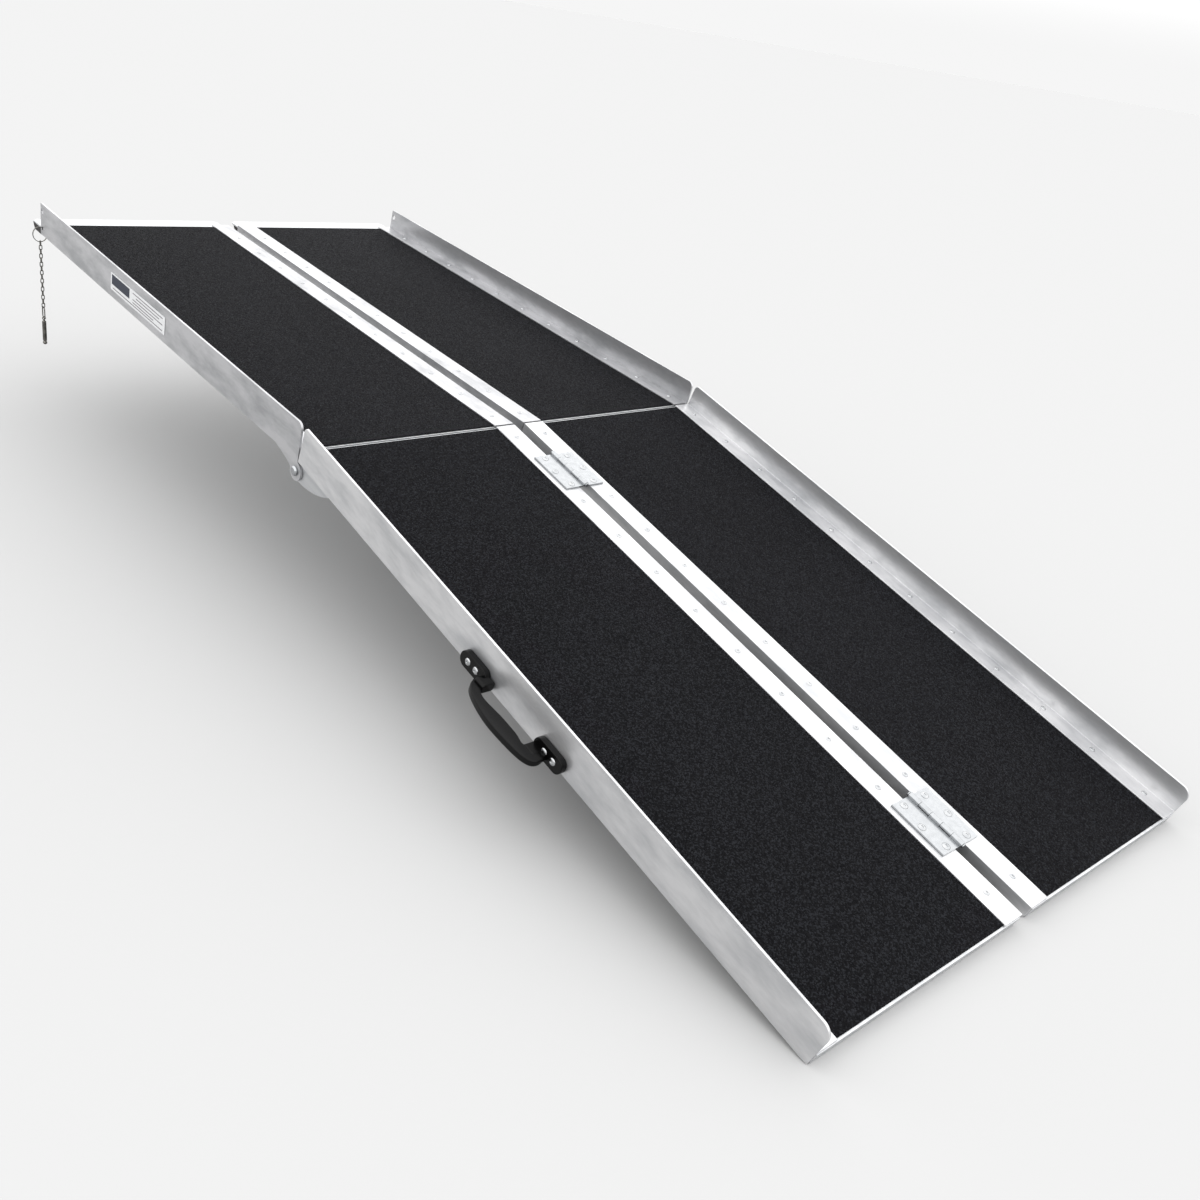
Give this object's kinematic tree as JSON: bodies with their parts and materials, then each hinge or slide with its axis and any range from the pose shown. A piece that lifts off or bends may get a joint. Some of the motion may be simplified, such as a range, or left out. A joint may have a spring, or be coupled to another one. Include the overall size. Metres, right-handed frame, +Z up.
{
  "type": "portable wheelchair ramp",
  "caption": "Folding aluminium wheelchair ramp: black grit treads between curbs, spine hinges, fold pivots, entry lips, carry handle and chained lock pin.",
  "frame": {"origin": "on the edge of the step that holds the top end up, midway across the ramp, level with the middle of the undersides of the lip pads", "axes": "+Z up with the ramp set up for use, +Y up the ramp towards the step, +X across the ramp to the right of someone going up"},
  "size_m": [0.7653, 1.7919, 0.3419],
  "materials": {
    "aluminium": "mill-finish aluminium sheet and extrusion, satin, faint draw lines",
    "zinc_steel": "bright zinc-plated steel",
    "grit_tape": "black mineral grit on a film, matt and rough",
    "lip_rubber": "black solid rubber, matt",
    "handle_plastic": "black moulded plastic, satin",
    "label_vinyl": "white vinyl sticker with a plain navy block, no text"
  },
  "bodies": {
    "upper_right": {"upper_right_deck": "aluminium", "upper_right_tread": "grit_tape", "upper_right_side_rail": "aluminium", "upper_right_spine_rail": "aluminium", "upper_right_fold_end_bar": "aluminium", "upper_right_middle_bar": "aluminium", "upper_right_outer_end_bar": "aluminium", "right_lip": "aluminium", "right_lip_pad": "lip_rubber"},
    "lower_right": {"lower_right_deck": "aluminium", "lower_right_tread": "grit_tape", "lower_right_side_rail": "aluminium", "lower_right_spine_rail": "aluminium", "lower_right_fold_end_bar": "aluminium", "lower_right_middle_bar": "aluminium", "lower_right_outer_end_bar": "aluminium", "right_outer_fold_plate": "aluminium", "right_outer_fold_bolt": "zinc_steel", "right_outer_fold_nut": "zinc_steel", "right_inner_fold_plate": "aluminium", "right_inner_fold_bolt": "zinc_steel", "right_inner_fold_nut": "zinc_steel", "lower_hinge_right_leaf": "zinc_steel", "lower_hinge_pin": "zinc_steel", "upper_hinge_right_leaf": "zinc_steel", "upper_hinge_pin": "zinc_steel"},
    "lower_left": {"lower_left_deck": "aluminium", "lower_left_tread": "grit_tape", "lower_left_side_rail": "aluminium", "lower_left_spine_rail": "aluminium", "lower_left_fold_end_bar": "aluminium", "lower_left_middle_bar": "aluminium", "lower_left_outer_end_bar": "aluminium", "left_outer_fold_plate": "aluminium", "left_outer_fold_bolt": "zinc_steel", "left_outer_fold_nut": "zinc_steel", "left_inner_fold_plate": "aluminium", "left_inner_fold_bolt": "zinc_steel", "left_inner_fold_nut": "zinc_steel", "lower_hinge_left_leaf": "zinc_steel", "upper_hinge_left_leaf": "zinc_steel", "carry_handle": "handle_plastic"},
    "upper_left": {"upper_left_deck": "aluminium", "upper_left_tread": "grit_tape", "upper_left_side_rail": "aluminium", "upper_left_spine_rail": "aluminium", "upper_left_fold_end_bar": "aluminium", "upper_left_middle_bar": "aluminium", "upper_left_outer_end_bar": "aluminium", "left_lip": "aluminium", "left_lip_pad": "lip_rubber", "label": "label_vinyl"},
    "ring": {"split_ring": "zinc_steel"},
    "chain": {"tether_chain": "zinc_steel"},
    "pin": {"end_link": "zinc_steel", "lock_pin": "zinc_steel"}
  },
  "joints": [
    {"name": "right_fold", "type": "hinge", "parent": "upper_right", "child": "lower_right", "pos_m": [0.186, -0.87424, -0.09344], "axis": [1, 0, 0], "range_deg": [0, 171.8]},
    {"name": "spine_fold", "type": "hinge", "parent": "lower_right", "child": "lower_left", "pos_m": [0, -1.32014, -0.16378], "axis": [0, 0.9724, 0.2334], "range_deg": [0, 169.5]},
    {"name": "left_fold", "type": "hinge", "parent": "lower_left", "child": "upper_left", "pos_m": [-0.186, -0.87424, -0.09344], "axis": [-1, 0, 0], "range_deg": [0, 171.8]},
    {"name": "ring_swing", "type": "hinge", "parent": "upper_left", "child": "ring", "pos_m": [-0.3605, -0.02356, 0.01037], "axis": [1, 0, 0], "range_deg": [-40, 25]},
    {"name": "chain_swing", "type": "hinge", "parent": "ring", "child": "chain", "pos_m": [-0.3665, -0.02356, -0.01073], "axis": [1, 0, 0], "range_deg": [-25, 40]},
    {"name": "pin_swing", "type": "hinge", "parent": "chain", "child": "pin", "pos_m": [-0.3665, -0.02356, -0.11983], "axis": [1, 0, 0], "range_deg": [-30, 30]}
  ]
}
